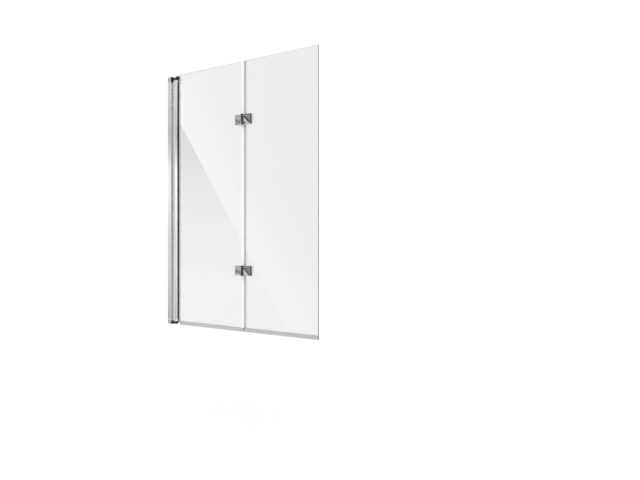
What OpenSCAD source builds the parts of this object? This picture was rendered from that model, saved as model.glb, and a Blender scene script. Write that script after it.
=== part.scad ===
// Two-panel folding bath screen, seen with the wall at x = 0, the bath rim at z = 0
// and the glass standing along +X in the plane y = 0. The panels fold towards -Y.

/* [Overall] */
// Width from the wall to the free edge of the glass
screen_w = 1000; // [900:10:1100]
// Height from the bath rim to the top edge of the glass
screen_h = 1400; // [1300:10:1500]
// Distance from the wall to the axis on which the outer panel folds
fold_x = 545; // [500:1:580]
// Thickness of the glass
glass_t = 6; // [5:0.5:8]
// Height of the bottom edge of the glass above the rim
rim_gap = 12; // [12:0.5:15]
// How far the glass stands above the wall profiles
glass_rise = 9; // [3:1:15]
// Radius of the corners of the glass
glass_corner_r = 3; // [1:0.5:6]
// Width of the polished bevel round the glass
glass_arris = 0.6; // [0.3:0.1:1]

/* [Wall channel] */
// Width of the channel across the wall
channel_w = 40; // [38:1:46]
// Depth of the channel from the wall
channel_d = 24; // [24:1:30]
// Thickness of the two flanges
channel_flange_t = 1.8; // [1.4:0.1:2.2]
// Thickness of the web against the wall
channel_web_t = 2; // [1.5:0.1:2.5]
// Distance of the shadow line from the wall
channel_line_x = 15; // [10:1:16]
// Radius of the holes for the wall screws
wall_hole_r = 3.25; // [2.5:0.25:4]
// Distance from each end of the profile to the outer wall screws
wall_hole_end = 145; // [100:5:180]

/* [End caps] */
// Height of the caps on the wall channel
cap_h = 24; // [17:1:26]
// How far the upper cap stands above the end of the profiles
cap_rise = 4; // [0:0.5:6]
// Thickness of the skirt of a cap
cap_skin = 1.2; // [1:0.1:1.6]
// Height at which the channel stands in a cap, and radius of the dome
cap_dome_r = 8; // [7:0.5:10]
// Thickness of a cap under the sliding post
cap_floor_t = 3; // [2.5:0.25:3.5]

/* [Sliding post] */
// Play between the post and the flanges of the channel
post_play = 0.7; // [0.5:0.1:1]
// Thickness of the sides of the post
post_side_t = 1.8; // [1.4:0.1:2.2]
// Thickness of the face of the post
post_face_t = 3; // [2.5:0.1:3.5]
// How far the face of the post stands out of the channel
post_reach = 4.5; // [4:0.5:8]
// Travel of the post towards the wall
travel_in = 2.5; // [1:0.5:3.5]
// Travel of the post away from the wall
travel_out = 9; // [4:0.5:9.5]
// Radius of the clamp screws
clamp_screw_r = 2; // [1.5:0.25:2.25]
// Distance from the wall to the clamp screws
clamp_x = 18; // [18:0.5:19]
// Width of a clamp nut
clamp_nut_w = 7; // [7:0.5:9]
// Thickness of a clamp nut
clamp_nut_t = 3; // [2:0.5:4]
// Number of clamp screws
clamp_count = 3; // [2:1:4]
// Distance from each end of the profile to the outer clamp screws
clamp_end = 200; // [190:5:260]

/* [Bearings] */
// Radius of the round end of each bearing arm
arm_r = 12; // [11:0.5:12.5]
// Thickness of each bearing arm
arm_t = 8; // [6:0.5:8]
// Height of the black collar under the lower end of the post
collar_bottom_h = 16; // [14:1:24]
// Height of the black collar over the upper end of the post
collar_top_h = 30; // [20:1:36]
// Length of the tongue that holds a bracket in the post
tongue_h = 26; // [22:1:36]
// Radius of the pivot pins
pivot_pin_r = 4; // [3:0.25:4.5]
// Length of the pivot pins
pivot_pin_h = 38; // [32:1:44]
// Wall thickness of the pivot bushes
bush_wall = 2; // [1.5:0.25:2.25]
// Radius of the flange of a pivot bush
bush_flange_r = 9; // [8:0.5:10]
// Thickness of the flange of a pivot bush
bush_flange_t = 1; // [0.8:0.1:1.2]

/* [Pivot profile] */
// Radius of the round back of the pivot profile
barrel_r = 15.5; // [15.2:0.1:16]
// Width of the flat part of the pivot profile
holder_w = 29; // [28:0.5:30]
// Distance from the pivot axis to the end of the flat part
holder_reach = 25; // [24:0.5:32]
// Thickness of the two walls beside the glass
holder_wall = 3; // [2.5:0.25:3.5]
// Thickness of the round wall
barrel_wall = 2; // [1.5:0.25:2.5]
// Thickness of the web between the round chamber and the glass
holder_web_t = 2.5; // [2:0.25:3]
// Height of the end blocks beyond the ends of the pivot profile
pivot_end_h = 21; // [19:1:26]
// Length of the spigot of an end block
spigot_h = 24; // [18:1:30]
// Length of the plugs in the glazing channel
plug_tongue_h = 10; // [6:1:16]
// How far the upper plugs reach over the glass
plug_overlap = 6; // [3:0.5:10]
// Thickness of the nose of the gaskets
gasket_nose_t = 1.2; // [0.8:0.1:1.6]

/* [Hinges] */
// Height of a hinge
hinge_h = 52; // [48:1:60]
// Width of each hinge leaf
leaf_w = 42.5; // [34:0.1:46]
// Thickness of each hinge leaf
leaf_t = 13.6; // [12:0.1:15]
// Distance from the top and bottom edges of the glass to the hinge centres
hinge_end = 304; // [200:5:360]
// Radius of the knuckles
knuckle_r = 8; // [7:0.25:9]
// Number of knuckles in a hinge, an odd number
knuckle_count = 5; // [3:2:5]
// Gap between two knuckles
knuckle_gap = 1; // [0.8:0.1:1.4]
// Radius of the hinge pin
hinge_pin_r = 3; // [2.5:0.25:3.5]
// Wall thickness of the bushes in the outer knuckles
hinge_bush_wall = 1.5; // [1:0.25:1.75]
// Thickness of the clamp plates behind the glass
clamp_plate_t = 5; // [4:0.5:7]
// Width of the clamp plates behind the glass
clamp_plate_w = 24; // [22:1:34]
// Thickness of the pads between metal and glass
pad_t = 1; // [0.5:0.25:1.5]
// Distance between the two screws of a leaf
screw_pitch = 26; // [22:1:28]
// Radius of the hinge screws
hinge_screw_r = 3; // [2:0.25:3]
// Radius of the holes in the glass
glass_hole_r = 7; // [6:0.5:8]

/* [Seals] */
// Height of the seal along the bottom edges, from the rim
seal_h = 19; // [18:0.5:24]
// Thickness of the seal walls
seal_t = 1.2; // [0.8:0.1:1.4]
// Spread of the wiper lips on each side of the glass
seal_spread = 4; // [2:0.5:5]
// Distance from the pivot axis to the start of the bottom seal
seal_start = 35; // [34:1:50]
// Gap between the two glass panels
panel_gap = 7; // [6:0.5:8]
// Width of the legs of the seal between the panels
joint_leg_w = 16; // [10:0.5:18]
// Depth of the bulb of the seal between the panels
bulb_depth = 12; // [9:0.5:14]

/* [Hidden] */
$fn = 96;

// Clearances
run_fit = 0.05;
slip_fit = 0.1;
run_gap = 0.3;
swing_gap = 0.5;
fold_gap = 0.4;
glass_fit = 0.3;
cut = 1;

// Heights
profile_h = screen_h - glass_rise;
glass_h = screen_h - rim_gap;
hinge_low_z = rim_gap + hinge_end;
hinge_high_z = screen_h - hinge_end;

// Wall channel and caps
wall_hole_count = 4;
channel_in_w = channel_w - 2 * channel_flange_t;
line_w = 1;
line_depth = 0.4;
cap_w = channel_w + 2 * cap_skin + 2 * slip_fit;
cap_d = channel_d + slip_fit + cap_skin;

// Sliding post
post_w = channel_in_w - 2 * post_play;
post_x0 = channel_web_t + swing_gap + travel_in;
post_x1 = channel_d + post_reach;
post_in_w = post_w - 2 * post_side_t;
post_low_z = cap_floor_t + swing_gap;
post_corner_r = 1;
slot_r = clamp_screw_r + run_gap;
clamp_head_r = 1.8 * clamp_screw_r;
clamp_head_h = 2;
clamp_tip = 0.5;
bracket_screw_x = (post_x0 + post_x1 - post_face_t) / 2;
bracket_screw_r = 1.75;
bracket_screw_h = 9;

// Pivot
pivot_x = post_x1 + swing_gap + holder_w / 2;
holder_x1 = pivot_x + holder_reach;
seat_r = barrel_r + swing_gap;
arm_top_z = post_low_z + arm_t;
bush_low_z = arm_top_z + run_gap;
block_low_z = bush_low_z + bush_flange_t;
bush_r = pivot_pin_r + run_fit + bush_wall;
chamber_r = barrel_r - barrel_wall;
glass_x0 = pivot_x + arm_r + swing_gap;
glazing_x0 = glass_x0 - swing_gap;
chamber_x1 = glazing_x0 - holder_web_t;
glazing_w = holder_w - 2 * holder_wall;
nib_w = 1.5;
nib_h = 1;
nib_inset = 1;
plug_gap = 0.5;
plug_low_overlap = 2;
plug_low_x1 = holder_x1 + plug_low_overlap;
plug_round_r = 7;
gasket_wall = 1.5;
gasket_hollow_r = 1;
gasket_nose_r = 0.4;
gasket_nose_inset = 0.5;

// Hinges
fold_y = -(glass_t / 2 + pad_t + leaf_t + fold_gap);
leaf_x0 = knuckle_r + run_gap;
leaf_x1 = leaf_x0 + leaf_w;
leaf_back_y = fold_gap + leaf_t;
glass_front_y = leaf_back_y + pad_t;
glass_back_y = glass_front_y + glass_t;
screw_x = leaf_x0 + leaf_w / 2;
knuckle_h = (hinge_h - (knuckle_count - 1) * knuckle_gap) / knuckle_count;
hinge_bush_r = hinge_pin_r + run_fit + hinge_bush_wall;
leaf_edge = 1;
leaf_corner_r = 1.5;
pad_inset = 0.5;
screw_head_r = 2 * hinge_screw_r;
leaf_skin = 4;
screw_reach = leaf_t - leaf_skin;
drill_extra = 1;
arm_inset = 1;
washer_inset = 0.5;
washer_side_gap = 0.1;
clamp_y0 = glass_back_y + pad_t;
clamp_x0 = screw_x - clamp_plate_w / 2;

// Seals
glass_x1 = fold_x - panel_gap / 2;
outer_x0 = fold_x + panel_gap / 2;
bulb_x1 = panel_gap - run_gap;
bulb_r = (bulb_x1 - seal_t - run_fit) / 2;
leg_y = glass_t / 2 + run_fit;
lip_z = 0.6;
seal_floor_z = lip_z + 2;

// ---------- Placing and repeating ----------

// Turns something drawn for the bottom end of the profiles upside down at the top end
module at_top() {
    translate([0, 0, profile_h]) mirror([0, 0, 1]) children();
}

// Extrudes an XZ outline along Y, from y0 on
module along_y(y0, length) {
    translate([0, y0 + length, 0]) rotate([90, 0, 0]) linear_extrude(length) children();
}

// Extrudes a YZ outline along X, from x0 on
module along_x(x0, length) {
    translate([x0, 0, 0]) rotate([90, 0, 90]) linear_extrude(length) children();
}

// A cylinder along Y
module pin_y(x, y0, z, r, length) {
    translate([x, y0, z]) rotate([-90, 0, 0]) cylinder(r = r, h = length);
}

// Both sides of the glass plane
module both_sides() {
    children();
    mirror([0, 1, 0]) children();
}

// A rectangle from two corners
module rect(x0, y0, x1, y1) {
    translate([x0, y0]) square([x1 - x0, y1 - y0]);
}

// A rectangle from two corners with its own corner radius
module round_rect(x0, y0, x1, y1, r) {
    rect(x0 + r, y0, x1 - r, y1);
    rect(x0, y0 + r, x1, y1 - r);
    for (x = [x0 + r, x1 - r], y = [y0 + r, y1 - r]) translate([x, y]) circle(r);
}

// A rectangle from two corners with bevelled corners
module bevel_rect(x0, y0, x1, y1, c) {
    polygon([
        [x0 + c, y0], [x1 - c, y0], [x1, y0 + c], [x1, y1 - c],
        [x1 - c, y1], [x0 + c, y1], [x0, y1 - c], [x0, y0 + c]
    ]);
}

// The same place in both hinges, measured from the fold axis
module at_hinges() {
    for (z = [hinge_low_z, hinge_high_z]) translate([fold_x, fold_y, z]) children();
}

// The places of the two screws of a leaf, measured from the fold axis
module at_leaf_screws() {
    for (z = [-screw_pitch / 2, screw_pitch / 2]) translate([screw_x, 0, z]) children();
}

// ---------- Wall channel, caps and clamps ----------

module channel_section() {
    tip_r = channel_flange_t / 2;
    difference() {
        union() {
            rect(0, -channel_w / 2, channel_web_t, channel_w / 2);
            both_sides() {
                rect(0, channel_w / 2 - channel_flange_t, channel_d - tip_r, channel_w / 2);
                translate([channel_d - tip_r, channel_w / 2 - tip_r]) circle(tip_r);
            }
        }
        both_sides()
            rect(channel_line_x, channel_w / 2 - line_depth, channel_line_x + line_w, channel_w);
    }
}

function wall_hole_z(i) =
    wall_hole_end + i * (profile_h - 2 * wall_hole_end) / (wall_hole_count - 1);

function clamp_z(i) = clamp_end + i * (profile_h - 2 * clamp_end) / (clamp_count - 1);

module wall_channel() color("silver") {
    difference() {
        translate([0, 0, cap_dome_r])
            linear_extrude(profile_h - 2 * cap_dome_r) channel_section();
        for (i = [0:wall_hole_count - 1])
            translate([-cut, 0, wall_hole_z(i)]) rotate([0, 90, 0])
                cylinder(r = wall_hole_r, h = channel_web_t + 2 * cut);
        for (i = [0:clamp_count - 1])
            pin_y(clamp_x, channel_in_w / 2 - cut, clamp_z(i), clamp_screw_r + slip_fit,
                channel_flange_t + 2 * cut);
    }
}

// Outline of a cap across the glass plane, domed at its closed end
module dome_outline(half_w, floor_z, r, top_z) {
    rect(-half_w, floor_z + r, half_w, top_z);
    rect(-half_w + r, floor_z, half_w - r, top_z);
    both_halves(half_w - r) translate([0, floor_z + r]) circle(r);
}

// The same shape at +offset and -offset along the first axis of an outline
module both_halves(distance) {
    for (side = [-1, 1]) translate([side * distance, 0]) children();
}

// A cap whose closed end stands out by the given rise
module wall_cap(rise) {
    room_w = channel_w + 2 * slip_fit;
    difference() {
        intersection() {
            translate([0, 0, -rise]) linear_extrude(cap_h + rise)
                round_rect(0, -cap_w / 2, cap_d, cap_w / 2, cap_skin / 2);
            along_x(0, cap_d) dome_outline(cap_w / 2, -rise, cap_dome_r, cap_h);
        }
        translate([-cut, -room_w / 2, cap_dome_r])
            cube([channel_d + slip_fit + cut, room_w, cap_h]);
        along_x(channel_web_t, cap_d)
            dome_outline(channel_in_w / 2, cap_floor_t - rise, cap_dome_r - cap_floor_t,
                cap_h + cut);
    }
}

module wall_cap_bottom() color("lightgray") wall_cap(0);

module wall_cap_top() color("lightgray") at_top() wall_cap(cap_rise);

// Screws through the rear flange, with low round heads
module clamp_screws() color("gray") {
    nut_y = post_in_w / 2 - run_gap - clamp_nut_t;
    for (i = [0:clamp_count - 1]) {
        pin_y(clamp_x, nut_y - clamp_tip, clamp_z(i), clamp_screw_r,
            channel_w / 2 - nut_y + clamp_tip);
        pin_y(clamp_x, channel_w / 2, clamp_z(i), clamp_head_r, clamp_head_h);
    }
}

// Square nuts inside the post
module clamp_nuts() color("gray") {
    for (i = [0:clamp_count - 1]) {
        difference() {
            translate([
                clamp_x - clamp_nut_w / 2,
                post_in_w / 2 - run_gap - clamp_nut_t,
                clamp_z(i) - clamp_nut_w / 2
            ]) cube([clamp_nut_w, clamp_nut_t, clamp_nut_w]);
            pin_y(clamp_x, 0, clamp_z(i), clamp_screw_r + run_fit, channel_w);
        }
    }
}

// ---------- Sliding post and its bearing brackets ----------

// Outline of the post with the hollow seat for the round pivot profile
module post_outline() {
    difference() {
        union() {
            rect(post_x0, -post_w / 2, post_x1 - post_corner_r, post_w / 2);
            round_rect(post_x0, -post_w / 2, post_x1, post_w / 2, post_corner_r);
        }
        translate([pivot_x, 0]) circle(seat_r);
    }
}

module sliding_post() color("silver") {
    difference() {
        translate([0, 0, collar_bottom_h])
            linear_extrude(profile_h - collar_bottom_h - collar_top_h)
            difference() {
                post_outline();
                rect(post_x0 - cut, -post_in_w / 2, post_x1 - post_face_t, post_in_w / 2);
            }
        for (i = [0:clamp_count - 1]) {
            for (x = [clamp_x - travel_out, clamp_x + travel_in])
                pin_y(x, 0, clamp_z(i), slot_r, post_w);
            translate([clamp_x - travel_out, 0, clamp_z(i) - slot_r])
                cube([travel_in + travel_out, post_w, 2 * slot_r]);
        }
        bracket_screw_shapes(slip_fit);
    }
}

// Countersunk screws through the sides of the post into the tongues
module bracket_screw_shapes(extra) {
    for (z = [collar_bottom_h + tongue_h / 2, profile_h - collar_top_h - tongue_h / 2])
        both_sides() translate([bracket_screw_x, post_w / 2, z]) rotate([90, 0, 0]) {
            cylinder(r = bracket_screw_r + extra, h = bracket_screw_h + extra);
            cylinder(r1 = 2 * bracket_screw_r + extra, r2 = bracket_screw_r + extra,
                h = post_side_t);
        }
}

module bracket_screws() color("gray") bracket_screw_shapes(0);

// A bracket: collar over the end of the post, arm to the pivot axis, tongue in the post
module bearing_bracket(collar_h) {
    corner_r = cap_dome_r - cap_floor_t - swing_gap;
    difference() {
        union() {
            intersection() {
                linear_extrude(collar_h) post_outline();
                along_x(post_x0, post_x1)
                    dome_outline(post_w / 2, post_low_z, corner_r, collar_h);
            }
            translate([0, 0, post_low_z]) linear_extrude(arm_t) {
                rect(post_x0, -arm_r, pivot_x, arm_r);
                translate([pivot_x, 0]) circle(arm_r);
            }
            translate([post_x0, -post_in_w / 2 + slip_fit, collar_h - cut])
                cube([
                    post_x1 - post_face_t - slip_fit - post_x0,
                    post_in_w - 2 * slip_fit,
                    tongue_h + cut
                ]);
        }
        translate([pivot_x, 0, 0]) cylinder(r = pivot_pin_r + run_fit, h = arm_top_z + cut);
        both_sides() pin_y(bracket_screw_x, post_w / 2 - bracket_screw_h - slip_fit,
            collar_h + tongue_h / 2, bracket_screw_r + run_fit, bracket_screw_h);
    }
}

module bearing_bracket_bottom() color("dimgray") bearing_bracket(collar_bottom_h);

module bearing_bracket_top() color("dimgray") at_top() bearing_bracket(collar_top_h);

module pivot_pin() {
    tip = 1;
    translate([pivot_x, 0, post_low_z]) {
        cylinder(r = pivot_pin_r, h = pivot_pin_h - tip);
        translate([0, 0, pivot_pin_h - tip])
            cylinder(r1 = pivot_pin_r, r2 = pivot_pin_r - tip, h = tip);
    }
}

module pivot_pin_bottom() color("lightsteelblue") pivot_pin();

module pivot_pin_top() color("lightsteelblue") at_top() pivot_pin();

// ---------- Pivot profile and what closes its ends ----------

module holder_outline() {
    translate([pivot_x, 0]) circle(barrel_r);
    rect(pivot_x, -holder_w / 2, holder_x1, holder_w / 2);
}

module chamber_outline(shrink) {
    intersection() {
        translate([pivot_x, 0]) circle(chamber_r - shrink);
        rect(0, -barrel_r, chamber_x1 - shrink, barrel_r);
    }
}

// The glazing channel, narrower at the two nibs that hold the gaskets
module glazing_outline() {
    nib_x1 = holder_x1 - nib_inset;
    slim_w = glazing_w - 2 * nib_h;
    rect(glazing_x0, -slim_w / 2, holder_x1 + cut, slim_w / 2);
    rect(glazing_x0, -glazing_w / 2, nib_x1 - nib_w, glazing_w / 2);
    rect(nib_x1, -glazing_w / 2, holder_x1 + cut, glazing_w / 2);
}

module pivot_profile() color("silver") {
    crease_x = pivot_x + sqrt(barrel_r * barrel_r - holder_w * holder_w / 4);
    translate([0, 0, pivot_end_h]) linear_extrude(profile_h - 2 * pivot_end_h)
        difference() {
            holder_outline();
            chamber_outline(0);
            glazing_outline();
            for (side = [-1, 1])
                translate([crease_x, side * (holder_w / 2) - line_depth])
                    square([line_w, 2 * line_depth]);
        }
}

// An end block: plate over the round part of the profile, spigot in its chamber
module pivot_block() {
    difference() {
        union() {
            translate([0, 0, block_low_z]) linear_extrude(pivot_end_h - block_low_z)
                intersection() {
                    holder_outline();
                    rect(0, -barrel_r, glazing_x0, barrel_r);
                }
            translate([0, 0, pivot_end_h - cut]) linear_extrude(spigot_h + cut)
                chamber_outline(slip_fit);
        }
        translate([pivot_x, 0, 0]) cylinder(r = bush_r + run_fit, h = pivot_end_h + spigot_h + cut);
    }
}

module pivot_block_bottom() color("lightgray") pivot_block();

module pivot_block_top() color("lightgray") at_top() pivot_block();

// A flanged bush that turns on the pivot pin
module pivot_bush() {
    translate([pivot_x, 0, bush_low_z]) difference() {
        union() {
            cylinder(r = bush_flange_r, h = bush_flange_t);
            cylinder(r = bush_r, h = pivot_end_h + spigot_h - bush_low_z);
        }
        translate([0, 0, -cut])
            cylinder(r = pivot_pin_r + run_fit, h = pivot_end_h + spigot_h + 2 * cut);
    }
}

module pivot_bush_bottom() color("white") pivot_bush();

module pivot_bush_top() color("white") at_top() pivot_bush();

// A plug beside the glass: its visible outline in the XZ plane is the child,
// and its tongue fills the end of the glazing channel
module glazing_plug() {
    plug_y = glass_t / 2 + glass_fit;
    both_sides() difference() {
        union() {
            along_y(plug_y, holder_w / 2 - plug_y) children();
            translate([glazing_x0 + swing_gap, plug_y, pivot_end_h - cut])
                cube([
                    holder_x1 - nib_inset - nib_w - glazing_x0 - 2 * swing_gap,
                    glazing_w / 2 - slip_fit - plug_y,
                    plug_tongue_h + cut
                ]);
        }
        translate([pivot_x, 0, -cut])
            cylinder(r = arm_r + 2 * swing_gap, h = block_low_z + cut);
    }
}

// Lower plugs: the corner away from the wall is rounded off
module glazing_plugs_bottom() color("dimgray") glazing_plug() intersection() {
    x0 = glazing_x0 + plug_gap;
    rect(x0, block_low_z, plug_low_x1, pivot_end_h);
    union() {
        rect(x0, 0, plug_low_x1 - plug_round_r, pivot_end_h);
        rect(x0, block_low_z + plug_round_r, plug_low_x1, pivot_end_h);
        translate([plug_low_x1 - plug_round_r, block_low_z + plug_round_r])
            circle(plug_round_r);
    }
}

// Upper plugs: they stand up beside the arm and taper out over the glass
module glazing_plugs_top() color("dimgray") at_top() glazing_plug()
    polygon([
        [glazing_x0 + plug_gap, 0],
        [holder_x1 + plug_overlap, 0],
        [holder_x1 + plug_overlap, block_low_z / 2],
        [holder_x1 + cut, pivot_end_h],
        [glazing_x0 + plug_gap, pivot_end_h]
    ]);

// A hollow wedge gasket between the glass and one wall of the glazing channel
module gasket() {
    x0 = glazing_x0 + 2 * swing_gap;
    y0 = glass_t / 2 + run_fit;
    y1 = glazing_w / 2 - run_fit;
    nib_x0 = holder_x1 - nib_inset - nib_w - slip_fit;
    end_z = pivot_end_h + plug_tongue_h;
    translate([0, 0, end_z]) linear_extrude(profile_h - 2 * end_z)
        difference() {
            union() {
                rect(x0, y0, holder_x1 + cut / 2, y1);
                round_rect(holder_x1 + slip_fit, y0, holder_x1 + slip_fit + gasket_nose_t,
                    holder_w / 2 - gasket_nose_inset, gasket_nose_r);
            }
            rect(nib_x0, y1 - nib_h - slip_fit, holder_x1 - nib_inset + slip_fit, y1 + cut);
            round_rect(x0 + gasket_wall, y0 + gasket_wall, nib_x0 - gasket_wall,
                y1 - gasket_wall, gasket_hollow_r);
        }
}

module gasket_front() color("black") mirror([0, 1, 0]) gasket();

module gasket_back() color("gainsboro") gasket();

// ---------- Glass and seals ----------

// A glass panel with bevelled edges and the four holes of its hinge leaves
module glass_panel(x0, x1, side) {
    difference() {
        intersection() {
            along_y(-glass_t / 2, glass_t)
                round_rect(x0, rim_gap, x1, screen_h, glass_corner_r);
            translate([0, 0, rim_gap]) linear_extrude(glass_h)
                bevel_rect(x0, -glass_t / 2, x1, glass_t / 2, glass_arris);
            along_x(x0, x1 - x0)
                bevel_rect(-glass_t / 2, rim_gap, glass_t / 2, screen_h, glass_arris);
        }
        for (hinge_z = [hinge_low_z, hinge_high_z], z = [-screw_pitch / 2, screw_pitch / 2])
            pin_y(fold_x + side * screw_x, -glass_t, hinge_z + z, glass_hole_r, 2 * glass_t);
    }
}

module glass_inner() color("gainsboro", 0.4) glass_panel(glass_x0, glass_x1, -1);

module glass_outer() color("gainsboro", 0.4) glass_panel(outer_x0, screen_w, 1);

// Section of the bottom seal: clip on the glass, hollow chamber, two wiper lips
module bottom_seal_section() {
    out_y = leg_y + seal_t;
    lip_y = leg_y + seal_spread;
    web_z = rim_gap - run_fit - seal_t;
    crotch = [out_y - seal_t / 2, web_z - 2 * seal_t];
    difference() {
        polygon([
            [out_y, seal_h], [out_y, web_z], [lip_y, lip_z], [lip_y - seal_t, lip_z], crotch,
            [out_y - seal_t, seal_floor_z], [seal_t - out_y, seal_floor_z],
            [-crotch.x, crotch.y], [seal_t - lip_y, lip_z], [-lip_y, lip_z], [-out_y, web_z],
            [-out_y, seal_h]
        ]);
        rect(-leg_y, web_z + seal_t, leg_y, seal_h + cut);
        polygon([
            [seal_t - out_y, web_z], [out_y - seal_t, web_z],
            [out_y - 2 * seal_t, seal_floor_z + seal_t], [2 * seal_t - out_y, seal_floor_z + seal_t]
        ]);
    }
}

module bottom_seal_inner() color("darkgray")
    along_x(pivot_x + seal_start, glass_x1 - pivot_x - seal_start) bottom_seal_section();

module bottom_seal_outer() color("darkgray")
    along_x(outer_x0, screen_w - outer_x0) bottom_seal_section();

// Section of the seal between the panels: clip on the inner glass and a hollow bulb
module joint_seal_section() {
    out_y = leg_y + seal_t;
    bulb_y0 = -glass_t / 2;
    bulb_x0 = glass_x1 + run_fit;
    both_sides() {
        rect(glass_x1 - joint_leg_w + seal_t / 2, leg_y, bulb_x0 + seal_t, out_y);
        translate([glass_x1 - joint_leg_w + seal_t / 2, leg_y + seal_t / 2])
            circle(seal_t / 2);
    }
    difference() {
        round_rect(bulb_x0, bulb_y0 - seal_t, glass_x1 + bulb_x1, bulb_y0 + bulb_depth, bulb_r);
        round_rect(bulb_x0 + seal_t, bulb_y0, glass_x1 + bulb_x1 - seal_t,
            bulb_y0 + bulb_depth - seal_t, bulb_r - seal_t);
    }
    rect(bulb_x0, -out_y, bulb_x0 + seal_t, out_y);
}

// Three lengths, with the hinges between them
module joint_seal() color("darkgray") {
    low = [
        seal_h + swing_gap,
        hinge_low_z + hinge_h / 2 + swing_gap,
        hinge_high_z + hinge_h / 2 + swing_gap
    ];
    high = [
        hinge_low_z - hinge_h / 2 - swing_gap,
        hinge_high_z - hinge_h / 2 - swing_gap,
        screen_h
    ];
    for (i = [0:2])
        translate([0, 0, low[i]]) linear_extrude(high[i] - low[i]) joint_seal_section();
}

// ---------- Hinges, measured from the fold axis, for the outer panel ----------

// The leaf without knuckles, bevelled round its face
module leaf_body() {
    intersection() {
        along_y(fold_gap, leaf_t)
            round_rect(leaf_x0, -hinge_h / 2, leaf_x1, hinge_h / 2, leaf_corner_r);
        translate([0, 0, -hinge_h / 2]) linear_extrude(hinge_h)
            polygon([
                [leaf_x0, fold_gap], [leaf_x1 - leaf_edge, fold_gap],
                [leaf_x1, fold_gap + leaf_edge], [leaf_x1, leaf_back_y],
                [leaf_x0, leaf_back_y]
            ]);
        along_x(leaf_x0, leaf_w)
            polygon([
                [fold_gap, leaf_edge - hinge_h / 2], [fold_gap + leaf_edge, -hinge_h / 2],
                [leaf_back_y, -hinge_h / 2], [leaf_back_y, hinge_h / 2],
                [fold_gap + leaf_edge, hinge_h / 2], [fold_gap, hinge_h / 2 - leaf_edge]
            ]);
    }
}

// One knuckle with the arm that carries it from its leaf
module knuckle() {
    linear_extrude(knuckle_h) {
        circle(knuckle_r);
        polygon([
            [0, 0], [leaf_x0 + cut, fold_gap], [leaf_x0 + cut, leaf_back_y - arm_inset],
            [0, knuckle_r]
        ]);
    }
}

// A leaf that carries every second knuckle, from the given one on
module leaf(first, bore_r) {
    difference() {
        union() {
            leaf_body();
            for (i = [first:2:knuckle_count - 1])
                translate([0, 0, i * (knuckle_h + knuckle_gap) - hinge_h / 2]) knuckle();
        }
        translate([0, 0, -hinge_h]) cylinder(r = bore_r, h = 2 * hinge_h);
        at_leaf_screws() pin_y(0, leaf_back_y - screw_reach - drill_extra, 0,
            hinge_screw_r + run_fit, screw_reach + drill_extra + cut);
    }
}

// The inner leaf is the mirror image of the outer one
module inner_side() {
    mirror([1, 0, 0]) children();
}

module at_hinge(z) {
    translate([fold_x, fold_y, z]) children();
}

module leaf_inner() {
    inner_side() leaf(0, hinge_pin_r + run_fit);
}

module leaf_outer() {
    leaf(1, hinge_bush_r + run_fit);
}

module lower_leaf_inner() color("gainsboro") at_hinge(hinge_low_z) leaf_inner();

module upper_leaf_inner() color("gainsboro") at_hinge(hinge_high_z) leaf_inner();

module lower_leaf_outer() color("gainsboro") at_hinge(hinge_low_z) leaf_outer();

module upper_leaf_outer() color("gainsboro") at_hinge(hinge_high_z) leaf_outer();

// The clamp plate behind the glass, countersunk for its screws
module clamp_plate() {
    difference() {
        intersection() {
            along_y(clamp_y0, clamp_plate_t)
                round_rect(clamp_x0, -hinge_h / 2, clamp_x0 + clamp_plate_w, hinge_h / 2,
                    leaf_corner_r);
            along_x(clamp_x0, clamp_plate_w)
                polygon([
                    [clamp_y0, -hinge_h / 2],
                    [clamp_y0 + clamp_plate_t - leaf_edge, -hinge_h / 2],
                    [clamp_y0 + clamp_plate_t, leaf_edge - hinge_h / 2],
                    [clamp_y0 + clamp_plate_t, hinge_h / 2 - leaf_edge],
                    [clamp_y0 + clamp_plate_t - leaf_edge, hinge_h / 2],
                    [clamp_y0, hinge_h / 2]
                ]);
        }
        at_leaf_screws() hinge_screw(slip_fit);
    }
}

// A countersunk screw from the clamp plate through the glass into the leaf
module hinge_screw(extra) {
    head_h = screw_head_r - hinge_screw_r;
    top_y = clamp_y0 + clamp_plate_t;
    tip_y = leaf_back_y - screw_reach;
    pin_y(0, tip_y, 0, hinge_screw_r + extra, top_y - tip_y);
    translate([0, top_y, 0]) rotate([90, 0, 0])
        cylinder(r1 = screw_head_r + extra, r2 = hinge_screw_r + extra, h = head_h);
}

module lower_clamp_inner() color("gainsboro") at_hinge(hinge_low_z) inner_side() clamp_plate();

module upper_clamp_inner() color("gainsboro") at_hinge(hinge_high_z) inner_side() clamp_plate();

module lower_clamp_outer() color("gainsboro") at_hinge(hinge_low_z) clamp_plate();

module upper_clamp_outer() color("gainsboro") at_hinge(hinge_high_z) clamp_plate();

// A pad of width w against the glass
module pad(y, w) {
    difference() {
        along_y(y, pad_t)
            round_rect(screw_x - w / 2 + pad_inset, pad_inset - hinge_h / 2,
                screw_x + w / 2 - pad_inset, hinge_h / 2 - pad_inset, leaf_corner_r);
        at_leaf_screws() pin_y(0, y - cut, 0, hinge_screw_r + slip_fit, pad_t + 2 * cut);
    }
}

// Pads on both faces of the glass, a wide one under the leaf
module pads() {
    pad(leaf_back_y, leaf_w);
    pad(glass_back_y, clamp_plate_w);
}

// Sleeves that keep the screws off the glass
module sleeves() {
    at_leaf_screws() difference() {
        pin_y(0, glass_front_y, 0, glass_hole_r - slip_fit, glass_t);
        pin_y(0, glass_front_y - cut, 0, hinge_screw_r + slip_fit, glass_t + 2 * cut);
    }
}

module hinge_pads_inner() color("dimgray") at_hinges() inner_side() pads();

module hinge_pads_outer() color("dimgray") at_hinges() pads();

module hole_sleeves_inner() color("white") at_hinges() inner_side() sleeves();

module hole_sleeves_outer() color("white") at_hinges() sleeves();

module hinge_screws_inner() color("gray")
    at_hinges() inner_side() at_leaf_screws() hinge_screw(0);

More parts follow.
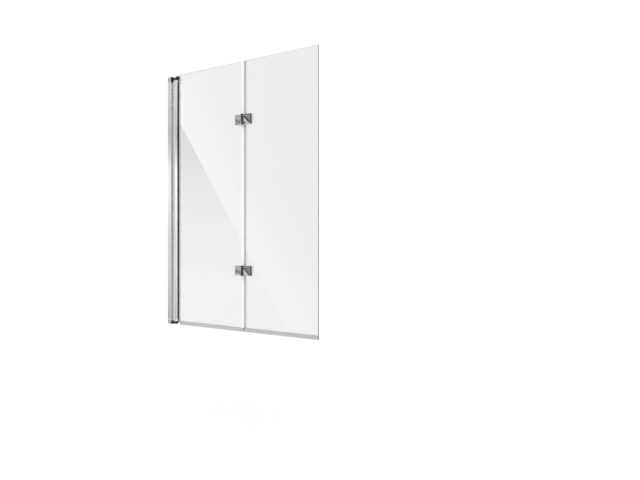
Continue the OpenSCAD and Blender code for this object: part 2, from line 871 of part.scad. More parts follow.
module hinge_screws_outer() color("gray") at_hinges() at_leaf_screws() hinge_screw(0);

module hinge_pins() color("lightsteelblue")
    at_hinges() translate([0, 0, -hinge_h / 2]) cylinder(r = hinge_pin_r, h = hinge_h);

// Thin washers in the gaps between the knuckles
module hinge_washers() color("white") at_hinges()
    for (i = [1:knuckle_count - 1])
        translate([0, 0, i * (knuckle_h + knuckle_gap) - knuckle_gap + washer_side_gap
            - hinge_h / 2])
            difference() {
                cylinder(r = knuckle_r - washer_inset, h = knuckle_gap - 2 * washer_side_gap);
                translate([0, 0, -cut])
                    cylinder(r = hinge_pin_r + run_fit, h = knuckle_gap + 2 * cut);
            }

// Bushes in the knuckles of the outer leaves
module hinge_bushes() color("white") at_hinges()
    for (i = [1:2:knuckle_count - 1])
        translate([0, 0, i * (knuckle_h + knuckle_gap) - hinge_h / 2])
            difference() {
                cylinder(r = hinge_bush_r, h = knuckle_h);
                translate([0, 0, -cut]) cylinder(r = hinge_pin_r + run_fit, h = hinge_h);
            }

wall_channel();
wall_cap_bottom();
wall_cap_top();
clamp_screws();
clamp_nuts();
sliding_post();
bearing_bracket_bottom();
bearing_bracket_top();
bracket_screws();
pivot_pin_bottom();
pivot_pin_top();
pivot_profile();
pivot_block_bottom();
pivot_block_top();
pivot_bush_bottom();
pivot_bush_top();
glazing_plugs_bottom();
glazing_plugs_top();
gasket_front();
gasket_back();
glass_inner();
bottom_seal_inner();
joint_seal();
lower_leaf_inner();
upper_leaf_inner();
lower_clamp_inner();
upper_clamp_inner();
hinge_pads_inner();
hole_sleeves_inner();
hinge_screws_inner();
hinge_pins();
hinge_washers();
glass_outer();
bottom_seal_outer();
lower_leaf_outer();
upper_leaf_outer();
lower_clamp_outer();
upper_clamp_outer();
hinge_pads_outer();
hole_sleeves_outer();
hinge_screws_outer();
hinge_bushes();
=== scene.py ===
import math

import bmesh
import bpy
from mathutils import Matrix, Vector, noise


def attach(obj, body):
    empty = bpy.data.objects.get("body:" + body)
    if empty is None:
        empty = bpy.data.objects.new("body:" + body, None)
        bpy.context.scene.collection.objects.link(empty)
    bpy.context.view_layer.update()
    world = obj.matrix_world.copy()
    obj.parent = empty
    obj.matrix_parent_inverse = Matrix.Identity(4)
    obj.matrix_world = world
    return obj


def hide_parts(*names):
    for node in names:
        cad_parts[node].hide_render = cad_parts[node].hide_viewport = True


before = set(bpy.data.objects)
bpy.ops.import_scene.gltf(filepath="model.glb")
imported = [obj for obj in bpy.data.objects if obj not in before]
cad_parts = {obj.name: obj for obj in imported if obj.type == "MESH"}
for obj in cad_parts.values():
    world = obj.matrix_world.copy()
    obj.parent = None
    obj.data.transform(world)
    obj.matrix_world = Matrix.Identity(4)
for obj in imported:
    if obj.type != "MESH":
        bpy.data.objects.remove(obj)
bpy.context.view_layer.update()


# ---------- Wall channel ----------
# A drawn aluminium U profile, screwed to the wall. It is polished and clear anodised, with fine
# lines from the die along its length, and handling has rubbed its edges a little brighter. Its
# back, which lies on the wall, is left as drawn.

def new_effect(name, inputs, outputs):
    """A shader group with named inputs and outputs."""
    tree = bpy.data.node_groups.new(name, "ShaderNodeTree")
    for label, kind, value in inputs:
        socket = tree.interface.new_socket(label, in_out="INPUT", socket_type=kind)
        if value is not None:
            socket.default_value = value
    for label, kind in outputs:
        tree.interface.new_socket(label, in_out="OUTPUT", socket_type=kind)
    return tree, tree.nodes.new("NodeGroupInput"), tree.nodes.new("NodeGroupOutput")


def fill(tree, socket, value):
    """Sets an input to a value, or links another node's output to it."""
    if isinstance(value, bpy.types.NodeSocket):
        tree.links.new(value, socket)
    else:
        socket.default_value = value


def part_of(tree, kind, **sockets):
    """A node with its sockets filled from values or from other nodes' outputs."""
    node = tree.nodes.new(kind)
    for label, value in sockets.items():
        fill(tree, node.inputs[label.replace("_", " ")], value)
    return node


def worked_out(tree, operation, first, second=0.0):
    """The result of a sum on two values or outputs."""
    node = tree.nodes.new("ShaderNodeMath")
    node.operation = operation
    fill(tree, node.inputs[0], first)
    fill(tree, node.inputs[1], second)
    return node.outputs[0]


def on_vectors(tree, operation, first, second=None):
    """The result of a sum on two vectors, or on a vector and a value."""
    node = tree.nodes.new("ShaderNodeVectorMath")
    node.operation = operation
    fill(tree, node.inputs[0], first)
    if second is not None:
        fill(tree, node.inputs["Scale" if operation == "SCALE" else 1], second)
    return node.outputs["Value" if operation == "DOT_PRODUCT" else "Vector"]


def mixed(tree, kind, factor, first, second):
    """A mix of two tones (RGBA) or values (FLOAT), all of the first where the factor is 0."""
    mix = tree.nodes.new("ShaderNodeMix")
    mix.data_type = kind
    first_socket, second_socket, mix_socket = (6, 7, 2) if kind == "RGBA" else (2, 3, 0)
    fill(tree, mix.inputs["Factor"], factor)
    fill(tree, mix.inputs[first_socket], first)
    fill(tree, mix.inputs[second_socket], second)
    return mix.outputs[mix_socket]


rubbed_edge, given, result = new_effect(
    "rubbed_edge",
    [("Tone", "NodeSocketColor", (0.8, 0.8, 0.8, 1)),
     ("Worn tone", "NodeSocketColor", (0.9, 0.9, 0.9, 1)),
     ("Edge radius", "NodeSocketFloat", 0.0003),
     ("Wear", "NodeSocketFloat", 0.6)],
    [("Tone", "NodeSocketColor"), ("Normal", "NodeSocketVector")])

# An edge shows where the rounded normal turns away from the face's own.
still_flat, fully_rubbed = 0.995, 0.85
rounding = part_of(rubbed_edge, "ShaderNodeBevel", Radius=given.outputs["Edge radius"])
rounding.samples = 6
face = rubbed_edge.nodes.new("ShaderNodeNewGeometry")
turned = on_vectors(rubbed_edge, "DOT_PRODUCT", rounding.outputs["Normal"], face.outputs["Normal"])
rub = part_of(rubbed_edge, "ShaderNodeMapRange", Value=turned, From_Min=still_flat,
              From_Max=fully_rubbed)
amount = worked_out(rubbed_edge, "MULTIPLY", rub.outputs["Result"], given.outputs["Wear"])
rubbed_tone = mixed(rubbed_edge, "RGBA", amount, given.outputs["Tone"],
                    given.outputs["Worn tone"])
rubbed_edge.links.new(rubbed_tone, result.inputs["Tone"])
rubbed_edge.links.new(rounding.outputs["Normal"], result.inputs["Normal"])


def surface_effect(name):
    """A shader group for a whole surface: how fine its marks are, its roughness and two tones."""
    return new_effect(
        name,
        [("Place", "NodeSocketVector", None),
         ("Marks per metre", "NodeSocketFloat", 1000.0),
         ("Lowest roughness", "NodeSocketFloat", 0.1),
         ("Highest roughness", "NodeSocketFloat", 0.2),
         ("Light tone", "NodeSocketColor", (0.9, 0.9, 0.9, 1)),
         ("Dark tone", "NodeSocketColor", (0.8, 0.8, 0.8, 1))],
        [("Tone", "NodeSocketColor"), ("Roughness", "NodeSocketFloat"),
         ("Height", "NodeSocketFloat")])


def give_out(tree, given, result, marks, clouds):
    """Fine marks set the roughness and the height of a surface, and broad clouds its tone."""
    roughness = part_of(tree, "ShaderNodeMapRange", Value=marks.outputs["Fac"],
                        To_Min=given.outputs["Lowest roughness"],
                        To_Max=given.outputs["Highest roughness"])
    tone = mixed(tree, "RGBA", clouds.outputs["Fac"], given.outputs["Light tone"],
                 given.outputs["Dark tone"])
    tree.links.new(tone, result.inputs["Tone"])
    tree.links.new(roughness.outputs["Result"], result.inputs["Roughness"])
    tree.links.new(marks.outputs["Fac"], result.inputs["Height"])


die_lines, given, result = surface_effect("die_lines")

# The noise is close across the profile and drawn out along it, which makes lines of it.
marks_along = 6.0
density = part_of(die_lines, "ShaderNodeCombineXYZ", X=given.outputs["Marks per metre"],
                  Y=given.outputs["Marks per metre"], Z=marks_along)
stretched = on_vectors(die_lines, "MULTIPLY", given.outputs["Place"], density.outputs["Vector"])
lines = part_of(die_lines, "ShaderNodeTexNoise", Vector=stretched, Scale=1.0, Detail=3.0)
clouds = part_of(die_lines, "ShaderNodeTexNoise", Vector=given.outputs["Place"], Scale=9.0,
                 Detail=2.0)
give_out(die_lines, given, result, lines, clouds)


def made_of(name, effect, marks_per_metre, roughness, tones, relief, edge_radius, worn_tone,
            **shader_values):
    """A finish of one effect, with rubbed edges. Its relief is a bump's strength and depth."""
    finish = bpy.data.materials.new(name)
    finish.use_nodes = True
    tree = finish.node_tree
    shader = tree.nodes["Principled BSDF"]
    for label, value in shader_values.items():
        shader.inputs[label.replace("_", " ")].default_value = value
    place = tree.nodes.new("ShaderNodeTexCoord")
    surface = tree.nodes.new("ShaderNodeGroup")
    surface.node_tree = effect
    surface.inputs["Marks per metre"].default_value = marks_per_metre
    surface.inputs["Lowest roughness"].default_value = roughness[0]
    surface.inputs["Highest roughness"].default_value = roughness[1]
    surface.inputs["Light tone"].default_value = tones[0]
    surface.inputs["Dark tone"].default_value = tones[1]
    edge = tree.nodes.new("ShaderNodeGroup")
    edge.node_tree = rubbed_edge
    edge.inputs["Edge radius"].default_value = edge_radius
    edge.inputs["Worn tone"].default_value = worn_tone
    bump = part_of(tree, "ShaderNodeBump", Strength=relief[0], Distance=relief[1])
    link = tree.links.new
    link(place.outputs["Object"], surface.inputs["Place"])
    link(surface.outputs["Tone"], edge.inputs["Tone"])
    link(edge.outputs["Tone"], shader.inputs["Base Color"])
    link(surface.outputs["Roughness"], shader.inputs["Roughness"])
    link(surface.outputs["Height"], bump.inputs["Height"])
    link(edge.outputs["Normal"], bump.inputs["Normal"])
    link(bump.outputs["Normal"], shader.inputs["Normal"])
    return finish


def dress(finish, *nodes):
    """Gives CAD nodes a finish."""
    for node in nodes:
        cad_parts[node].material_slots[0].material = finish


def other_finish_between(finish, axis, span, tone, roughness):
    """Gives the part of a finish that lies between two X or two Y another tone and roughness."""
    low, high = span
    tree = finish.node_tree
    shader, place = tree.nodes["Principled BSDF"], tree.nodes["Texture Coordinate"]
    split = part_of(tree, "ShaderNodeSeparateXYZ", Vector=place.outputs["Object"])
    band = worked_out(tree, "COMPARE", split.outputs[axis], (low + high) / 2)
    band.node.inputs[2].default_value = (high - low) / 2
    for label, kind, value in (("Base Color", "RGBA", tone), ("Roughness", "FLOAT", roughness)):
        elsewhere = shader.inputs[label].links[0].from_socket
        tree.links.new(mixed(tree, kind, band, elsewhere, value), shader.inputs[label])


polished_aluminium = made_of(
    "polished_aluminium", die_lines, marks_per_metre=1200.0, roughness=(0.015, 0.035),
    tones=((0.86, 0.86, 0.88, 1), (0.83, 0.83, 0.85, 1)), relief=(0.02, 0.00003),
    edge_radius=0.0003, worn_tone=(0.93, 0.93, 0.94, 1), Metallic=1.0)
back_face = (-0.0005, 0.0002)
other_finish_between(polished_aluminium, "X", back_face, (0.4, 0.4, 0.41, 1), 0.45)
dress(polished_aluminium, "wall_channel")


# ---------- Wall caps ----------
# Moulded caps over the two ends of the wall channel, in plastic with a bright plated coat.
# The mould leaves a very slight waviness under the plating.

moulded_skin, given, result = surface_effect("moulded_skin")
grain = part_of(moulded_skin, "ShaderNodeTexNoise", Vector=given.outputs["Place"],
                Scale=given.outputs["Marks per metre"], Detail=4.0)
clouds = part_of(moulded_skin, "ShaderNodeTexNoise", Vector=given.outputs["Place"], Scale=60.0)
give_out(moulded_skin, given, result, grain, clouds)

plated_plastic = made_of(
    "plated_plastic", moulded_skin, marks_per_metre=120.0, roughness=(0.06, 0.12),
    tones=((0.48, 0.48, 0.49, 1), (0.43, 0.43, 0.45, 1)), relief=(0.1, 0.0002),
    edge_radius=0.0004, worn_tone=(0.62, 0.62, 0.63, 1), Metallic=1.0)
dress(plated_plastic, "wall_cap_bottom", "wall_cap_top")


# ---------- Sliding post ----------
# The drawn aluminium profile that slides in the wall channel and carries the pivots. It is left
# satin, and its tone is painted dark as the shade in the line between the two polished profiles;
# where the round back of the pivot profile sits in it, it is painted paler: painted light.

# Painted shade: the tones are painted dark for the shade between the two profiles.
satin_aluminium = made_of(
    "satin_aluminium", die_lines, marks_per_metre=1600.0, roughness=(0.14, 0.18),
    tones=((0.37, 0.37, 0.38, 1), (0.34, 0.34, 0.35, 1)), relief=(0.1, 0.0001),
    edge_radius=0.0003, worn_tone=(0.6, 0.6, 0.61, 1), Metallic=1.0)
# Painted light: the seat is painted paler where the pivot profile shades it.
pivot_seat_painted_light = (0.0268, 0.0435)
other_finish_between(satin_aluminium, "X", pivot_seat_painted_light, (0.6, 0.6, 0.6, 1), 0.3)
dress(satin_aluminium, "sliding_post")


# ---------- Clamp screws and nuts ----------
# Stainless pan-headed screws with a cross recess, through the rear flange of the wall channel and
# into square nuts inside the post. They lock the post once it is set out.

stainless_steel = made_of(
    "stainless_steel", die_lines, marks_per_metre=4000.0, roughness=(0.18, 0.3),
    tones=((0.62, 0.61, 0.6, 1), (0.55, 0.54, 0.53, 1)), relief=(0.1, 0.0001),
    edge_radius=0.0002, worn_tone=(0.75, 0.74, 0.73, 1), Metallic=1.0)
dress(stainless_steel, "clamp_nuts", "clamp_screws")


def new_pattern(name, inputs):
    """A Geometry Nodes tree with named inputs and one mesh as its output."""
    tree = bpy.data.node_groups.new(name, "GeometryNodeTree")
    tree.is_modifier = True
    for label, kind in inputs:
        tree.interface.new_socket(label, in_out="INPUT", socket_type=kind)
    tree.interface.new_socket("Geometry", in_out="OUTPUT", socket_type="NodeSocketGeometry")
    return tree, tree.nodes.new("NodeGroupInput"), tree.nodes.new("NodeGroupOutput")


screw_sizes = [
    ("Shank radius", "NodeSocketFloat"), ("Shank length", "NodeSocketFloat"),
    ("Head radius", "NodeSocketFloat"), ("Head height", "NodeSocketFloat"),
    ("Recess radius", "NodeSocketFloat"), ("Recess depth", "NodeSocketFloat"),
    ("First place", "NodeSocketVector"), ("Pitch", "NodeSocketFloat"),
    ("Per group", "NodeSocketInt"), ("Group distance", "NodeSocketFloat"),
    ("Groups", "NodeSocketInt"), ("Seed", "NodeSocketInt"), ("Finish", "NodeSocketMaterial")]


def along_z(tree, mesh, height):
    """The mesh moved up its own axis."""
    lift = part_of(tree, "ShaderNodeCombineXYZ", Z=height)
    return part_of(tree, "GeometryNodeTransform", Geometry=mesh,
                   Translation=lift.outputs[0]).outputs[0]


def merged(tree, operation, first, second):
    """The two closed meshes joined, or the second cut out of the first."""
    node = tree.nodes.new("GeometryNodeMeshBoolean")
    node.operation = operation
    if operation == "DIFFERENCE":
        tree.links.new(first, node.inputs["Mesh 1"])
        tree.links.new(second, node.inputs["Mesh 2"])
    else:
        tree.links.new(second, node.inputs["Mesh 2"])
        tree.links.new(first, node.inputs["Mesh 2"])
    return node.outputs["Mesh"]


def set_out(tree, given, result, screw):
    """Puts the screw in groups up the screen, its head towards +Y, each turned by chance."""
    pair_way = part_of(tree, "ShaderNodeCombineXYZ", Z=given.outputs["Pitch"])
    pair = part_of(tree, "GeometryNodeMeshLine", Count=given.outputs["Per group"],
                   Offset=pair_way.outputs[0])
    group_way = part_of(tree, "ShaderNodeCombineXYZ", Z=given.outputs["Group distance"])
    groups = part_of(tree, "GeometryNodeMeshLine", Count=given.outputs["Groups"],
                     Start_Location=given.outputs["First place"], Offset=group_way.outputs[0])
    places = part_of(tree, "GeometryNodeInstanceOnPoints", Points=groups.outputs[0],
                     Instance=pair.outputs[0])
    places = part_of(tree, "GeometryNodeRealizeInstances", Geometry=places.outputs[0])
    chance = part_of(tree, "FunctionNodeRandomValue", Seed=given.outputs["Seed"])
    chance.data_type = "FLOAT"
    float_limit, float_value = chance.inputs[3], chance.outputs[1]
    float_limit.default_value = 2 * math.pi
    turn = part_of(tree, "FunctionNodeAxisAngleToRotation", Axis=(0, 0, 1), Angle=float_value)
    facing = part_of(tree, "FunctionNodeEulerToRotation", Euler=(-math.pi / 2, 0, 0))
    both = part_of(tree, "FunctionNodeRotateRotation", Rotation=facing.outputs[0],
                   Rotate_By=turn.outputs[0])
    both.rotation_space = "LOCAL"
    screws = part_of(tree, "GeometryNodeInstanceOnPoints", Points=places.outputs[0],
                     Instance=screw, Rotation=both.outputs[0])
    solid = part_of(tree, "GeometryNodeRealizeInstances", Geometry=screws.outputs[0])
    painted = part_of(tree, "GeometryNodeSetMaterial", Geometry=solid.outputs[0],
                      Material=given.outputs["Finish"])
    tree.links.new(painted.outputs[0], result.inputs["Geometry"])


def from_pattern(name, tree, **values):
    """The plain mesh that a pattern makes from these values, as one piece."""
    piece = bpy.data.objects.new(name, bpy.data.meshes.new(name))
    bpy.context.scene.collection.objects.link(piece)
    maker = piece.modifiers.new("pattern", "NODES")
    maker.node_group = tree
    sockets = {item.name: item.identifier for item in tree.interface.items_tree
               if item.in_out == "INPUT"}
    for label, value in values.items():
        maker[sockets[label.replace("_", " ")]] = value
    made = piece.evaluated_get(bpy.context.evaluated_depsgraph_get())
    mesh = bpy.data.meshes.new_from_object(made)
    piece.modifiers.remove(maker)
    smallest_gap = 4e-6
    closed = bmesh.new()
    closed.from_mesh(mesh)
    bmesh.ops.remove_doubles(closed, verts=closed.verts, dist=smallest_gap)
    bmesh.ops.recalc_face_normals(closed, faces=closed.faces)
    closed.to_mesh(mesh)
    closed.free()
    piece.data = mesh
    return piece


cross_screws, given, result = new_pattern("cross_screws", screw_sizes)
sizes = given.outputs
shank = part_of(cross_screws, "GeometryNodeMeshCylinder", Vertices=32,
                Radius=sizes["Shank radius"], Depth=sizes["Shank length"])
shank = along_z(cross_screws, shank.outputs["Mesh"],
                worked_out(cross_screws, "MULTIPLY", sizes["Shank length"], -0.5))
ball = part_of(cross_screws, "GeometryNodeMeshUVSphere", Segments=32, Rings=24, Radius=1.0)
spread = part_of(cross_screws, "ShaderNodeCombineXYZ", X=sizes["Head radius"],
                 Y=sizes["Head radius"], Z=sizes["Head height"])
dome = part_of(cross_screws, "GeometryNodeTransform", Geometry=ball.outputs["Mesh"],
               Scale=spread.outputs[0])

# The dome is the upper half of the ball: a block as wide as two heads takes the lower half away.
block_side = worked_out(cross_screws, "MULTIPLY", sizes["Head radius"], 4.0)
block_size = part_of(cross_screws, "ShaderNodeCombineXYZ", X=block_side, Y=block_side,
                     Z=block_side)
block = part_of(cross_screws, "GeometryNodeMeshCube", Size=block_size.outputs[0])
block = along_z(cross_screws, block.outputs["Mesh"],
                worked_out(cross_screws, "MULTIPLY", sizes["Head radius"], -2.0))
head = merged(cross_screws, "DIFFERENCE", dome.outputs[0], block)
head = along_z(cross_screws, head,
               worked_out(cross_screws, "MULTIPLY", sizes["Head height"], -1.0))
screw = merged(cross_screws, "UNION", head, shank)

# The cross is cut by two bars, one a little deeper, so that no two of their faces meet.
wide = worked_out(cross_screws, "MULTIPLY", sizes["Recess radius"], 2.0)
slim = worked_out(cross_screws, "MULTIPLY", sizes["Recess radius"], 0.5)
deep = worked_out(cross_screws, "MULTIPLY", sizes["Recess depth"], 2.0)
deeper = worked_out(cross_screws, "MULTIPLY", deep, 1.08)
for x_side, y_side, z_side in ((wide, slim, deep), (slim, wide, deeper)):
    bar_size = part_of(cross_screws, "ShaderNodeCombineXYZ", X=x_side, Y=y_side, Z=z_side)
    bar = part_of(cross_screws, "GeometryNodeMeshCube", Size=bar_size.outputs[0])
    screw = merged(cross_screws, "DIFFERENCE", screw, bar.outputs["Mesh"])
set_out(cross_screws, given, result, screw)

clamp_screw_set = from_pattern(
    "clamp_screw_set", cross_screws, Shank_radius=0.002, Shank_length=0.0101,
    Head_radius=0.0036, Head_height=0.002, Recess_radius=0.0018, Recess_depth=0.0012,
    First_place=(0.018, 0.022, 0.2), Pitch=0.1, Per_group=1, Group_distance=0.4955, Groups=3,
    Seed=3, Finish=stainless_steel)
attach(clamp_screw_set, "wall_frame")
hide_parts("clamp_screws")


# ---------- Bearing brackets, pivot pins and glazing plugs ----------
# The brackets carry the two pivot pins and close the ends of the post, in black glass-filled
# nylon on turned stainless pins. The plugs close the glazing channel: black in front of the
# glass and undyed behind it, like the gaskets that they hold.

black_plastic = made_of(
    "black_plastic", moulded_skin, marks_per_metre=2500.0, roughness=(0.35, 0.55),
    tones=((0.012, 0.012, 0.012, 1), (0.008, 0.008, 0.008, 1)), relief=(0.25, 0.0002),
    edge_radius=0.0004, worn_tone=(0.04, 0.04, 0.04, 1), Specular_IOR_Level=0.25)
dress(black_plastic, "bearing_bracket_bottom", "bearing_bracket_top")
plug_plastic = black_plastic.copy()
plug_plastic.name = "plug_plastic"
behind_glass = (0.0, 0.03)
other_finish_between(plug_plastic, "Y", behind_glass, (0.85, 0.85, 0.84, 1), 0.4)
dress(plug_plastic, "glazing_plugs_bottom", "glazing_plugs_top")
dress(stainless_steel, "bracket_screws", "pivot_pin_bottom", "pivot_pin_top")


# ---------- Pivot profile and its end blocks ----------
# The round-backed aluminium profile that swings on the pins and grips the inner glass, polished
# brighter than the wall channel. Its round back keeps a satin band, with a duller one in the groove
# beside it whose tone is a painted dark reflection. The moulded blocks in its ends are plated
# like the wall caps, and painted darker as painted shade.

bright_aluminium = made_of(
    "bright_aluminium", die_lines, marks_per_metre=1200.0, roughness=(0.015, 0.035),
    tones=((0.98, 0.98, 0.99, 1), (0.95, 0.95, 0.96, 1)), relief=(0.02, 0.00003),
    edge_radius=0.0003, worn_tone=(0.98, 0.98, 0.99, 1), Metallic=1.0)
round_back, groove_painted_dark = (0.029, 0.0395), (0.0395, 0.0495)
other_finish_between(bright_aluminium, "X", round_back, (0.98, 0.98, 0.98, 1), 0.75)
# Painted reflection: the groove band is painted dark.
other_finish_between(bright_aluminium, "X", groove_painted_dark, (0.4, 0.4, 0.41, 1), 0.3)
dress(bright_aluminium, "pivot_profile")
# Painted shade: the same plating as the wall caps, painted dark for the shade at the profile's
# ends.
plating_painted_dark = made_of(
    "plating_painted_dark", moulded_skin, marks_per_metre=120.0, roughness=(0.15, 0.25),
    tones=((0.12, 0.12, 0.12, 1), (0.09, 0.09, 0.09, 1)), relief=(0.1, 0.0002),
    edge_radius=0.0004, worn_tone=(0.2, 0.2, 0.2, 1), Metallic=1.0)
dress(plating_painted_dark, "pivot_block_bottom", "pivot_block_top")


# ---------- Bushes, washers and sleeves ----------
# Plain bearings of white nylon in the end blocks and the outer knuckles, and sleeves that keep
# the hinge screws off the glass.

white_nylon = made_of(
    "white_nylon", moulded_skin, marks_per_metre=1500.0, roughness=(0.4, 0.55),
    tones=((0.8, 0.79, 0.76, 1), (0.74, 0.73, 0.69, 1)), relief=(0.1, 0.0002),
    edge_radius=0.0003, worn_tone=(0.82, 0.81, 0.78, 1), Subsurface_Weight=0.1)
dress(white_nylon, "pivot_bush_bottom", "pivot_bush_top", "hinge_washers", "hinge_bushes",
      "hole_sleeves_inner", "hole_sleeves_outer")


# ---------- Gaskets ----------
# Extruded wedges pushed in between the glass and the two walls of the pivot profile: black rubber
# in front, clear soft plastic behind, each with a rounded nose over the end of its wall.

def eased(corners, radius, steps=4):
    """A closed outline with its corners rounded, in millimetres."""
    share_of_side = 0.45
    outline = []
    for place, corner in enumerate(corners):
        here = Vector(corner)
        back = Vector(corners[place - 1]) - here
        ahead = Vector(corners[(place + 1) % len(corners)]) - here
        reach = min(radius, share_of_side * back.length, share_of_side * ahead.length)
        start, end = here + back.normalized() * reach, here + ahead.normalized() * reach
        for step in range(steps + 1):
            t = step / steps
            outline.append((1 - t) ** 2 * start + 2 * t * (1 - t) * here + t ** 2 * end)
    return outline


def drawn_length(outlines, low, high, placing):
    """A length of an extruded section, from closed outlines in millimetres; a hole is one more."""
    section = bpy.data.curves.new("section", "CURVE")
    section.dimensions = "2D"
    section.fill_mode = "BOTH"
    section.extrude = (high - low) / 2
    for outline in outlines:
        spline = section.splines.new("POLY")
        spline.points.add(len(outline) - 1)
        for spot, point in zip(spline.points, outline):
            spot.co = (point[0], point[1], 0, 1)
        spline.use_cyclic_u = True
    drawing = bpy.data.objects.new("section", section)
    bpy.context.scene.collection.objects.link(drawing)
    mesh = bpy.data.meshes.new_from_object(
        drawing.evaluated_get(bpy.context.evaluated_depsgraph_get()))
    bpy.data.objects.remove(drawing)
    to_middle = Matrix.Translation((0, 0, (low + high) / 2))
    mesh.transform(placing @ Matrix.Scale(0.001, 4) @ to_middle)
    return mesh


def one_piece(name, lengths, *finishes):
    """One piece from (mesh, index of its finish) pairs, each closed and facing outwards."""
    smallest_gap, sharp = 1e-6, math.radians(35)
    together = bmesh.new()
    for mesh, finish in lengths:
        own = bmesh.new()
        own.from_mesh(mesh)
        bmesh.ops.remove_doubles(own, verts=own.verts, dist=smallest_gap)
        bmesh.ops.recalc_face_normals(own, faces=own.faces)
        for facet in own.faces:
            facet.material_index = finish
            facet.smooth = True
        for ridge in own.edges:
            ridge.smooth = ridge.calc_face_angle(math.pi) < sharp
        own.to_mesh(mesh)
        own.free()
        together.from_mesh(mesh)
        bpy.data.meshes.remove(mesh)
    whole = bpy.data.meshes.new(name)
    together.to_mesh(whole)
    together.free()
    for finish in finishes:
        whole.materials.append(finish)
    piece = bpy.data.objects.new(name, whole)
    bpy.context.scene.collection.objects.link(piece)
    return piece


upright = Matrix.Identity(4)
gasket_foot, gasket_top = 31, 1360
gasket_outline = eased([
    (56.5, 3.05), (69.8, 3.05), (69.8, 14.0), (68.6, 14.0), (68.6, 11.45), (67.6, 11.45),
    (67.6, 10.35), (65.9, 10.35), (65.9, 11.45), (56.5, 11.45)], 0.5)
gasket_hollow = eased([(58.0, 4.55), (64.4, 4.55), (64.4, 9.95), (58.0, 9.95)], 1.0)

black_rubber = made_of(
    "black_rubber", moulded_skin, marks_per_metre=3500.0, roughness=(0.55, 0.75),
    tones=((0.014, 0.014, 0.014, 1), (0.01, 0.01, 0.01, 1)), relief=(0.3, 0.0002),
    edge_radius=0.0002, worn_tone=(0.025, 0.025, 0.025, 1), Specular_IOR_Level=0.25)
clear_seal = made_of(
    "clear_seal", moulded_skin, marks_per_metre=700.0, roughness=(0.25, 0.35),
    tones=((0.88, 0.88, 0.88, 1), (0.85, 0.85, 0.85, 1)), relief=(0.1, 0.0002),
    edge_radius=0.0002, worn_tone=(0.9, 0.9, 0.9, 1))

front_wedge = one_piece("front_wedge", [(drawn_length(
    [[(x, -y) for x, y in outline] for outline in (gasket_outline, gasket_hollow)],
    gasket_foot, gasket_top, upright), 0)], black_rubber)
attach(front_wedge, "inner_panel")
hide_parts("gasket_front")
back_wedge = one_piece("back_wedge", [(drawn_length(
    [gasket_outline, gasket_hollow], gasket_foot, gasket_top, upright), 0)], clear_seal)
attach(back_wedge, "inner_panel")
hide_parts("gasket_back")
dress(black_rubber, "gasket_front")
dress(clear_seal, "gasket_back")


# ---------- Glass panels ----------
# Two sheets of 6 mm toughened safety glass, clear with a faint grey tint, and darker and duller at
# their ground edges. They leave no grey shadow on what is beside them, as clear glass doesn't.

clear_glass = bpy.data.materials.new("clear_glass")
clear_glass.use_nodes = True
nodes, link = clear_glass.node_tree.nodes, clear_glass.node_tree.links.new
shader = nodes["Principled BSDF"]
shader.inputs["Transmission Weight"].default_value = 1.0
shader.inputs["IOR"].default_value = 1.52
facing = nodes.new("ShaderNodeTexCoord")
split = part_of(clear_glass.node_tree, "ShaderNodeSeparateXYZ", Vector=facing.outputs["Normal"])
across = worked_out(clear_glass.node_tree, "ABSOLUTE", split.outputs["Y"])
still_face, fully_edge = 0.5, 0.3
edge = part_of(clear_glass.node_tree, "ShaderNodeMapRange", Value=across, From_Min=still_face,
               From_Max=fully_edge)
face_tint, edge_tint = (0.776, 0.776, 0.776, 1), (0.42, 0.46, 0.44, 1)
edge_roughness = 0.4
link(mixed(clear_glass.node_tree, "RGBA", edge.outputs["Result"], face_tint, edge_tint),
     shader.inputs["Base Color"])
link(worked_out(clear_glass.node_tree, "MULTIPLY", edge.outputs["Result"], edge_roughness),
     shader.inputs["Roughness"])
dress(clear_glass, "glass_inner", "glass_outer")
for sheet in ("glass_inner", "glass_outer"):
    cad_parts[sheet].visible_shadow = False
    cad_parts[sheet].visible_diffuse = False


# ---------- Bottom seals ----------
# Grey soft plastic strips clipped over the lower edges of the glass, with a hollow chamber and
# two wiper lips that drain the water back over the bath rim. The lips never lie quite straight.

grey_seal = made_of(
    "grey_seal", moulded_skin, marks_per_metre=800.0, roughness=(0.3, 0.42),
    tones=((0.45, 0.45, 0.45, 1), (0.4, 0.4, 0.4, 1)), relief=(0.1, 0.0002),
    edge_radius=0.0003, worn_tone=(0.5, 0.5, 0.5, 1))
dress(grey_seal, "bottom_seal_inner", "bottom_seal_outer")

lip_outline = eased([
    (4.25, 19), (4.25, 10.75), (7.05, 0.6), (5.85, 0.6), (3.65, 8.35), (3.05, 2.6),
    (-3.05, 2.6), (-3.65, 8.35), (-5.85, 0.6), (-7.05, 0.6), (-4.25, 10.75), (-4.25, 19),
    (-3.05, 19), (-3.05, 11.95), (3.05, 11.95), (3.05, 19)], 0.45)
chamber_outline = eased([(-3.05, 10.75), (3.05, 10.75), (1.85, 3.8), (-1.85, 3.8)], 0.6)
along_glass = Matrix(((0, 0, 1, 0), (1, 0, 0, 0), (0, 1, 0, 0), (0, 0, 0, 1)))
cut_length, cut_gap = 12, 1e-7
lip_height, lip_start_y, most_sway = 0.0085, 0.0036, 0.0006
waves_per_metre, between_waves = 14, 3


